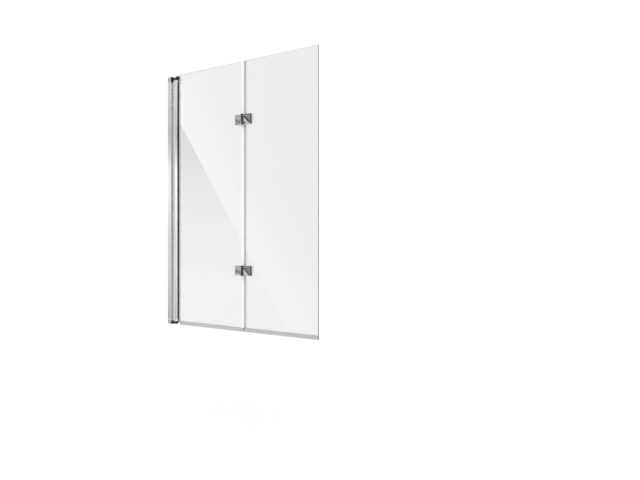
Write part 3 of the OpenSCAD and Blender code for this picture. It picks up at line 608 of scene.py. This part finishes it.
def wiper_strip(name, low, high):
    """A bottom seal from one X to another, its lips waved a little along their length."""
    strip = bmesh.new()
    strip.from_mesh(drawn_length([lip_outline, chamber_outline], low, high, along_glass))
    bmesh.ops.remove_doubles(strip, verts=strip.verts, dist=1e-6)
    for cut in range(1, int((high - low) / cut_length)):
        bmesh.ops.bisect_plane(
            strip, geom=strip.verts[:] + strip.edges[:] + strip.faces[:],
            plane_co=((low + cut_length * cut) / 1000, 0, 0), plane_no=(1, 0, 0),
            dist=cut_gap)
    for vert in strip.verts:
        droop = max(0.0, lip_height - vert.co.z) / lip_height
        sway = noise.noise(Vector((vert.co.x * waves_per_metre,
                                   math.copysign(between_waves, vert.co.y), 0)))
        vert.co.y += most_sway * droop * sway * (abs(vert.co.y) > lip_start_y)
    mesh = bpy.data.meshes.new(name)
    strip.to_mesh(mesh)
    strip.free()
    return one_piece(name, [(mesh, 0)], grey_seal)


wiper_inner = wiper_strip("wiper_inner", 78.5, 541.5)
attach(wiper_inner, "inner_panel")
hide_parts("bottom_seal_inner")
wiper_outer = wiper_strip("wiper_outer", 548.5, 1000)
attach(wiper_outer, "outer_panel")
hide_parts("bottom_seal_outer")


# ---------- Seal between the panels ----------
# Three lengths of a strip of two soft plastics, above, between and below the hinges: a clear clip
# on the edge of the inner glass, and a grey bulb that fills the gap when the screen is open. A
# thin fin of the bulb laps behind the edge of the outer glass.

clip_outline = eased([
    (525.5, 3.05), (541.55, 3.05), (541.55, -3.05), (525.5, -3.05), (525.5, -4.25),
    (543.4, -4.25), (543.4, 4.25), (525.5, 4.25)], 0.4)
bulb_outline = eased([
    (543.4, -4.2), (548.3, -4.2), (548.3, 3.2), (548.3, 3.8), (549.0, 3.8), (556.0, 3.7),
    (556.0, 4.5), (549.0, 5.0), (548.3, 5.0), (548.3, 5.6), (548.3, 9.0), (543.4, 9.0)], 1.6, 8)
bulb_hollow = eased([(544.4, -3.0), (547.1, -3.0), (547.1, 7.8), (544.4, 7.8)], 1.0, 8)
clear_of_hinges = ((19.5, 289.5), (342.5, 1069.5), (1122.5, 1400))
lengths = []
for low, high in clear_of_hinges:
    lengths.append((drawn_length([clip_outline], low, high, upright), 0))
    lengths.append((drawn_length([bulb_outline, bulb_hollow], low, high, upright), 1))
bulb_grey = made_of(
    "bulb_grey", moulded_skin, marks_per_metre=800.0, roughness=(0.3, 0.42),
    tones=((0.61, 0.61, 0.61, 1), (0.57, 0.57, 0.57, 1)), relief=(0.1, 0.0002),
    edge_radius=0.0003, worn_tone=(0.64, 0.64, 0.64, 1))
gap_seal = one_piece("gap_seal", lengths, clear_seal, bulb_grey)
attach(gap_seal, "inner_panel")
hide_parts("joint_seal")
dress(clear_seal, "joint_seal")


# ---------- Hinges ----------
# Cast leaves in front of the glass and clamp plates behind it, chromed, on steel pins. Buffing
# leaves each flat front face crowned, while the knuckles between the leaves and the narrow sides
# are painted dark: painted shade.

hinge_chrome = made_of(
    "hinge_chrome", moulded_skin, marks_per_metre=150.0, roughness=(0.05, 0.09),
    tones=((0.57, 0.57, 0.58, 1), (0.53, 0.53, 0.54, 1)), relief=(0.1, 0.0002),
    edge_radius=0.0006, worn_tone=(0.68, 0.68, 0.69, 1), Metallic=1.0)

buffed_crown, given, result = new_effect(
    "buffed_crown",
    [("Place", "NodeSocketVector", None),
     ("Facing", "NodeSocketVector", None),
     ("Normal", "NodeSocketVector", None),
     ("Fold x", "NodeSocketFloat", 0.545),
     ("Leaf start", "NodeSocketFloat", 0.0083),
     ("Leaf end", "NodeSocketFloat", 0.0508),
     ("Inner tilt", "NodeSocketFloat", 0.123),
     ("Outer tilt", "NodeSocketFloat", 0.325),
     ("Lower hinge z", "NodeSocketFloat", 0.316),
     ("Upper hinge z", "NodeSocketFloat", 1.096),
     ("Half height", "NodeSocketFloat", 0.026),
     ("Height tilt", "NodeSocketFloat", 0.09)],
    [("Normal", "NodeSocketVector"), ("Painted shade", "NodeSocketFloat")])


def sum_of(operation, first, second=0.0):
    """The result of a sum on two values in the buffed crown."""
    return worked_out(buffed_crown, operation, first, second)


given = given.outputs
split = part_of(buffed_crown, "ShaderNodeSeparateXYZ", Vector=given["Place"])
facing = part_of(buffed_crown, "ShaderNodeSeparateXYZ", Vector=given["Facing"])

# The tilt sideways grows from the fold out to the end of each leaf.
from_fold = sum_of("SUBTRACT", split.outputs["X"], given["Fold x"])
side, reach = sum_of("SIGN", from_fold), sum_of("ABSOLUTE", from_fold)
sideways = part_of(buffed_crown, "ShaderNodeMapRange", Value=reach, From_Min=given["Leaf start"],
                   From_Max=given["Leaf end"], To_Min=given["Inner tilt"],
                   To_Max=given["Outer tilt"])

# The tilt up or down grows from the middle of the nearer hinge.
halfway = sum_of("ADD", given["Lower hinge z"], given["Upper hinge z"])
halfway = sum_of("MULTIPLY", halfway, 0.5)
is_upper = sum_of("GREATER_THAN", split.outputs["Z"], halfway)
apart = sum_of("SUBTRACT", given["Upper hinge z"], given["Lower hinge z"])
centre_z = sum_of("ADD", sum_of("MULTIPLY", is_upper, apart), given["Lower hinge z"])
height = sum_of("SUBTRACT", split.outputs["Z"], centre_z)
height = sum_of("DIVIDE", height, given["Half height"])
height = sum_of("MULTIPLY", height, given["Height tilt"])

# Only the flat front of a leaf is crowned. The knuckles and the sides get painted shade.
front_y, side_x = -0.9, 0.8
knuckle = sum_of("LESS_THAN", reach, given["Leaf start"])
is_front = sum_of("LESS_THAN", facing.outputs["Y"], front_y)
on_leaf = sum_of("MULTIPLY", sum_of("SUBTRACT", 1.0, knuckle), is_front)
tilt = part_of(buffed_crown, "ShaderNodeCombineXYZ", Z=height,
               X=sum_of("MULTIPLY", side, sideways.outputs["Result"]))
tilt = on_vectors(buffed_crown, "SCALE", tilt.outputs["Vector"], on_leaf)
to_world = part_of(buffed_crown, "ShaderNodeVectorTransform", Vector=tilt)
to_world.vector_type = "VECTOR"
to_world.convert_from, to_world.convert_to = "OBJECT", "WORLD"
leaning = on_vectors(buffed_crown, "ADD", given["Normal"], to_world.outputs["Vector"])
buffed_crown.links.new(on_vectors(buffed_crown, "NORMALIZE", leaning), result.inputs["Normal"])
is_side = sum_of("GREATER_THAN", sum_of("ABSOLUTE", facing.outputs["X"]), side_x)
buffed_crown.links.new(sum_of("MAXIMUM", knuckle, is_side), result.inputs["Painted shade"])

nodes, link = hinge_chrome.node_tree.nodes, hinge_chrome.node_tree.links.new
shader, bump, place = nodes["Principled BSDF"], nodes["Bump"], nodes["Texture Coordinate"]
edge = bump.inputs["Normal"].links[0].from_node
crown = nodes.new("ShaderNodeGroup")
crown.node_tree = buffed_crown
link(place.outputs["Object"], crown.inputs["Place"])
link(place.outputs["Normal"], crown.inputs["Facing"])
link(edge.outputs["Normal"], crown.inputs["Normal"])
link(crown.outputs["Normal"], bump.inputs["Normal"])
# Painted shade: the knuckles and the narrow sides are painted nearly black.
painted_shade_tone = (0.05, 0.05, 0.052, 1)
link(mixed(hinge_chrome.node_tree, "RGBA", crown.outputs["Painted shade"], edge.outputs["Tone"],
           painted_shade_tone), shader.inputs["Base Color"])
dress(hinge_chrome, "lower_leaf_inner", "upper_leaf_inner", "lower_leaf_outer",
      "upper_leaf_outer", "lower_clamp_inner", "upper_clamp_inner", "lower_clamp_outer",
      "upper_clamp_outer")
dress(stainless_steel, "hinge_pins")


# ---------- Hinge pads ----------
# Grey fibre pads, punched from a sheet, between the metal and both faces of the glass. The front
# pads are as wide as the leaves and the rear ones as wide as the clamp plates.

grey_fibre = made_of(
    "grey_fibre", moulded_skin, marks_per_metre=1800.0, roughness=(0.7, 0.9),
    tones=((0.3, 0.3, 0.29, 1), (0.2, 0.2, 0.19, 1)), relief=(0.4, 0.0003),
    edge_radius=0.0002, worn_tone=(0.36, 0.36, 0.35, 1))
dress(grey_fibre, "hinge_pads_inner", "hinge_pads_outer")
through_glass = Matrix(((1, 0, 0, 0), (0, 0, 1, 0), (0, 1, 0, 0), (0, 0, 0, 1)))
hinge_heights = (316, 1096)
front_pad, back_pad = (-4, -3, 41.5), (3, 4, 23)
pad_half_height, pad_corner = 25.5, 1.5
hole_radius, hole_rise, half_turn_steps = 3.1, 13, 16


def punched_pads(name, centre_x):
    """The four pads of one panel, each a rounded sheet with two holes, in millimetres."""
    punched = []
    for hinge_z in hinge_heights:
        for low, high, width in (front_pad, back_pad):
            x0, x1 = centre_x - width / 2, centre_x + width / 2
            z0, z1 = hinge_z - pad_half_height, hinge_z + pad_half_height
            sheet = eased([(x0, z0), (x1, z0), (x1, z1), (x0, z1)], pad_corner)
            turns = [step * math.pi / half_turn_steps for step in range(2 * half_turn_steps)]
            holes = [[(centre_x + hole_radius * math.cos(turn),
                       hinge_z + rise + hole_radius * math.sin(turn)) for turn in turns]
                     for rise in (-hole_rise, hole_rise)]
            punched.append((drawn_length([sheet] + holes, low, high, through_glass), 0))
    return one_piece(name, punched, grey_fibre)


pads_inner = punched_pads("pads_inner", 515.45)
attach(pads_inner, "inner_panel")
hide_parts("hinge_pads_inner")
pads_outer = punched_pads("pads_outer", 574.55)
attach(pads_outer, "outer_panel")
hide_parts("hinge_pads_outer")


# ---------- Hinge screws ----------
# Stainless countersunk screws with a hexagon socket, from the clamp plates through the glass into
# the leaves. The fitter leaves each socket at its own angle.

socket_screws, given, result = new_pattern("socket_screws", screw_sizes)
sizes = given.outputs
shank = part_of(socket_screws, "GeometryNodeMeshCylinder", Vertices=32,
                Radius=sizes["Shank radius"], Depth=sizes["Shank length"])
below = worked_out(socket_screws, "MULTIPLY", sizes["Shank length"], -0.5)
shank = along_z(socket_screws, shank.outputs["Mesh"],
                worked_out(socket_screws, "SUBTRACT", below, sizes["Recess depth"]))

# The cone ends a little wider than the shank, so that no two of their faces meet.
neck = worked_out(socket_screws, "MULTIPLY", sizes["Shank radius"], 1.03)
cone = part_of(socket_screws, "GeometryNodeMeshCone", Vertices=48,
               Radius_Top=sizes["Head radius"], Radius_Bottom=neck,
               Depth=sizes["Head height"])
cone = along_z(socket_screws, cone.outputs["Mesh"],
               worked_out(socket_screws, "MULTIPLY", sizes["Head height"], -1.0))
screw = merged(socket_screws, "UNION", cone, shank)
hexagon = part_of(socket_screws, "GeometryNodeMeshCylinder", Vertices=6,
                  Radius=sizes["Recess radius"],
                  Depth=worked_out(socket_screws, "MULTIPLY", sizes["Recess depth"], 2.0))
screw = merged(socket_screws, "DIFFERENCE", screw, hexagon.outputs["Mesh"])
set_out(socket_screws, given, result, screw)

for name, node, body, x, seed in (
        ("socket_screws_inner", "hinge_screws_inner", "inner_panel", 0.51545, 5),
        ("socket_screws_outer", "hinge_screws_outer", "outer_panel", 0.57455, 8)):
    fixing = from_pattern(
        name, socket_screws, Shank_radius=0.003, Shank_length=0.0226, Head_radius=0.006,
        Head_height=0.003, Recess_radius=0.0023, Recess_depth=0.0024,
        First_place=(x, 0.009, 0.303), Pitch=0.026, Per_group=2, Group_distance=0.78, Groups=2,
        Seed=seed, Finish=stainless_steel)
    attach(fixing, body)
    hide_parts(node)
dress(stainless_steel, "hinge_screws_inner", "hinge_screws_outer")


# ---------- Floor and white surround ----------
# A plain pale floor at the height of the ground beside a bath, and a white surround. Both are white
# to the camera, in mirrors and through glass, and light the screen less than they show.

floor_z, floor_reach, floor_glow = -0.56, 12, 0.14
floor_mesh = bpy.data.meshes.new("floor")
floor_mesh.from_pydata(
    [(-floor_reach, -floor_reach, floor_z), (floor_reach, -floor_reach, floor_z),
     (floor_reach, floor_reach, floor_z), (-floor_reach, floor_reach, floor_z)], [],
    [(0, 1, 2, 3)])
floor = bpy.data.objects.new("floor", floor_mesh)
bpy.context.scene.collection.objects.link(floor)


def seen(tree):
    """1 for the rays that show the background: straight, mirrored or through glass."""
    path = tree.nodes.new("ShaderNodeLightPath")
    straight = worked_out(tree, "MAXIMUM", path.outputs["Is Camera Ray"],
                          path.outputs["Is Glossy Ray"])
    return worked_out(tree, "MAXIMUM", straight, path.outputs["Is Transmission Ray"])


pale_floor = bpy.data.materials.new("pale_floor")
pale_floor.use_nodes = True
shader = pale_floor.node_tree.nodes["Principled BSDF"]
shader.inputs["Roughness"].default_value = 0.9
shader.inputs["Base Color"].default_value = (0.8, 0.8, 0.8, 1)
shader.inputs["Specular IOR Level"].default_value = 0.0
shader.inputs["Emission Color"].default_value = (1, 1, 1, 1)
pale_floor.node_tree.links.new(
    worked_out(pale_floor.node_tree, "MULTIPLY", seen(pale_floor.node_tree), floor_glow),
    shader.inputs["Emission Strength"])
floor_mesh.materials.append(pale_floor)

surround = bpy.data.worlds.new("surround")
bpy.context.scene.world = surround
surround.use_nodes = True
nodes, link = surround.node_tree.nodes, surround.node_tree.links.new
soft_light = nodes["Background"]
soft_light.inputs["Color"].default_value = (1, 1, 1, 1)
soft_light.inputs["Strength"].default_value = 0.8
white = part_of(surround.node_tree, "ShaderNodeBackground", Color=(1, 1, 1, 1), Strength=1.0)
choice = nodes.new("ShaderNodeMixShader")
link(seen(surround.node_tree), choice.inputs["Fac"])
link(soft_light.outputs["Background"], choice.inputs[1])
link(white.outputs["Background"], choice.inputs[2])
link(choice.outputs["Shader"], nodes["World Output"].inputs["Surface"])


# ---------- Studio cards ----------
# Boards that only the bright metal and the glass reflect, as a photographer sets them round a
# polished object: a softbox with a black flag before it, graded boards and dark booms on the
# left, a striped board and a slim lamp for the hinges, and a flag far back on the right.

def studio_card(name, corners, strength=1.0):
    """A flat board that only mirrors see. Returns its shader tree."""
    mesh = bpy.data.meshes.new(name)
    mesh.from_pydata(corners, [], [tuple(range(len(corners)))])
    card = bpy.data.objects.new(name, mesh)
    bpy.context.scene.collection.objects.link(card)
    card.visible_camera = False
    card.visible_diffuse = False
    card.visible_transmission = False
    card.visible_volume_scatter = False
    card.visible_shadow = False
    paint = bpy.data.materials.new(name)
    paint.use_nodes = True
    tree = paint.node_tree
    tree.nodes.clear()
    glow = part_of(tree, "ShaderNodeEmission", Strength=strength)
    part_of(tree, "ShaderNodeOutputMaterial", Surface=glow.outputs["Emission"])
    mesh.materials.append(paint)
    return tree


def graded_card(name, corners, start, direction, stops):
    """A card whose strength follows (distance, strength) stops from a start in a direction."""
    tree = studio_card(name, corners)
    place = tree.nodes.new("ShaderNodeTexCoord")
    offset = on_vectors(tree, "SUBTRACT", place.outputs["Object"], start)
    along = on_vectors(tree, "DOT_PRODUCT", offset, direction)
    low, high = stops[0][0], stops[-1][0]
    most = max(value for _, value in stops)
    scale = part_of(tree, "ShaderNodeMapRange", Value=along, From_Min=low, From_Max=high)
    curve = part_of(tree, "ShaderNodeFloatCurve", Value=scale.outputs["Result"])
    points = curve.mapping.curves[0].points
    while len(points) < len(stops):
        points.new(0.5, 0.5)
    for point, (distance, value) in zip(points, stops):
        point.location = ((distance - low) / (high - low), value / most)
        point.handle_type = "VECTOR"
    curve.mapping.update()
    tree.links.new(worked_out(tree, "MULTIPLY", curve.outputs["Value"], most),
                   tree.nodes["Emission"].inputs["Strength"])


def upright_corners(start, end, foot, top):
    """The four corners of an upright board that stands between two (x, y) places."""
    return [(*start, foot), (*end, foot), (*end, top), (*start, top)]


card_y, card_foot, card_top, left_x = -3.0, -1.5, 6.0, -6.0
softbox_left, softbox_right, softbox_top = -3.075, -0.9, 3.2

# The glass mirrors the softbox, whose light falls off from the slanting edge of the black flag.
flag_top = Vector((-3.033, card_y, 1.965))
flag_low = Vector((-2.097, card_y, 0.592))
edge_way = (flag_low - flag_top).normalized()
away = Vector((-edge_way.z, 0, edge_way.x))
graded_card(
    "softbox", upright_corners((softbox_left, card_y), (softbox_right, card_y), card_foot,
                               softbox_top), flag_top, away,
    [(0.0, 3.4), (0.13, 3.38), (0.3, 2.94), (0.54, 2.51), (0.73, 2.37), (1.4, 2.23), (3.0, 2.23)])

flag_y, flag_length, edge_slope = card_y + 0.02, 4.2, 1.467
flag_end = flag_top + edge_way * flag_length
flag_start_z = flag_top.z + (flag_top.x - softbox_left) * edge_slope
upwards = (0, 0, 1)
graded_card(
    "black_flag", [(softbox_left, flag_y, flag_start_z), (flag_end.x, flag_y, flag_end.z),
                   (softbox_left, flag_y, flag_end.z)], (0, 0, 0), upwards,
    [(-0.6, 2.8), (-0.03, 2.8), (0.22, 2.37), (0.6, 2.28), (0.72, 2.15), (0.85, 1.77),
     (0.97, 1.63), (1.22, 1.37), (1.35, 1.0), (1.475, 0.68), (1.6, 0.32), (1.725, 0.0),
     (2.2, 0.0)])

# The profiles mirror the graded boards from top to bottom, and the booms as two dark marks.
board_stops = [
    (-1.5, 0.42), (-0.55, 0.46), (-0.315, 0.57), (-0.05, 0.675), (0.2, 0.74), (0.47, 0.755),
    (0.996, 1.0), (1.389, 1.06), (1.65, 0.72), (1.85, 0.57), (2.18, 0.65), (2.44, 0.72),
    (6.0, 0.75)]
graded_card(
    "graded_board", upright_corners((left_x, card_y), (softbox_left, card_y), card_foot, card_top),
    (0, 0, 0), upwards, board_stops)
graded_card(
    "graded_side_board", upright_corners((left_x, -card_y), (left_x, card_y), card_foot, card_top),
    (0, 0, 0), upwards, board_stops)

boom_near_x, boom_x, boom_y, boom_far_y = -3.5, left_x + 0.03, card_y + 0.03, -1.4
boom_strength, half_boom = 0.2, 0.1
for name, near_z, corner_z, far_z in (("upper_boom", 1.72, 2.3, 2.6),
                                      ("lower_boom", -0.42, -0.16, 0.0)):
    studio_card(name, [
        (boom_near_x, boom_y, near_z - half_boom), (boom_x, boom_y, corner_z - half_boom),
        (boom_x, boom_y, corner_z + half_boom), (boom_near_x, boom_y, near_z + half_boom)],
        boom_strength)
    studio_card(name + "_side", [
        (boom_x, boom_y, corner_z - half_boom), (boom_x, boom_far_y, far_z - half_boom),
        (boom_x, boom_far_y, far_z + half_boom), (boom_x, boom_y, corner_z + half_boom)],
        boom_strength)

# The crowned leaves of the hinges mirror the stripes, which lie aslant.
striped_right, stripes_start, across_stripes = 1.6, (-0.955, card_y, 2.146), (0.536, 0.0, 0.844)
graded_card(
    "striped_board", upright_corners((softbox_right, card_y), (striped_right, card_y), card_foot,
                                     card_top), stripes_start, across_stripes,
    [(-2.2, 0.9), (-1.49, 1.0), (-1.46, 0.05), (-1.33, 0.05), (-1.29, 0.4), (-0.7, 0.36),
     (-0.58, 0.3), (-0.4, 0.3), (-0.36, 1.0), (-0.11, 1.0), (-0.08, 0.05), (0.08, 0.05),
     (0.11, 0.42), (0.8, 0.42)])
lamp_left, lamp_right, lamp_y, lamp_top, lamp_strength = -3.8, -3.36, card_y + 0.04, 3.3, 1.6
studio_card("slim_lamp", upright_corners((lamp_left, lamp_y), (lamp_right, lamp_y), card_foot,
                                         lamp_top), lamp_strength)

# The side flag darkens what the right faces of the metal mirror, and fades out at both its edges.
flag_left, flag_right = 1.7, 5.0
graded_card(
    "side_flag", upright_corners((flag_left, -card_y), (flag_right, -card_y), card_foot,
                                 softbox_top), (0, 0, 0), (1, 0, 0),
    [(1.7, 1.0), (2.1, 0.7), (2.6, 0.15), (3.3, 0.1), (3.9, 0.2), (4.5, 0.7), (5.0, 1.0)])


# ---------- Lamps and camera ----------
# Two wide soft lamps from the front left and the front right, which no mirror shows, and a level
# camera at the photograph's angle, with its focal length and shifts in the photograph's pixels.

def soft_lamp(name, direction, strength, spread):
    """A very wide, even light that comes from one side."""
    lamp = bpy.data.lights.new(name, "SUN")
    lamp.angle = math.radians(spread)
    lamp.energy = strength
    stand = bpy.data.objects.new(name, lamp)
    stand.rotation_euler = Vector(direction).to_track_quat("-Z", "Y").to_euler()
    stand.visible_glossy = False
    stand.visible_camera = False
    stand.visible_transmission = False
    bpy.context.scene.collection.objects.link(stand)


soft_lamp("key_lamp", direction=(-0.5, 0.6, -0.9), strength=0.9, spread=70)
soft_lamp("fill_lamp", direction=(0.7, 0.5, -0.6), strength=0.4, spread=70)

picture_width, focal_length, shift_right, shift_up = 640, 570, 0.35, 0.6
camera_data = bpy.data.cameras.new("camera")
camera_data.sensor_width = 36.0
camera_data.lens = focal_length / picture_width * camera_data.sensor_width
camera_data.shift_x = shift_right / picture_width
camera_data.shift_y = shift_up / picture_width
camera = bpy.data.objects.new("camera", camera_data)
camera.location = (2.463, -2.271, 0.471)
forward = Vector((-0.5399, 0.8417, 0.0))
camera.rotation_euler = forward.to_track_quat("-Z", "Y").to_euler()
bpy.context.scene.collection.objects.link(camera)
bpy.context.scene.camera = camera
bpy.context.scene.view_settings.view_transform = "Standard"
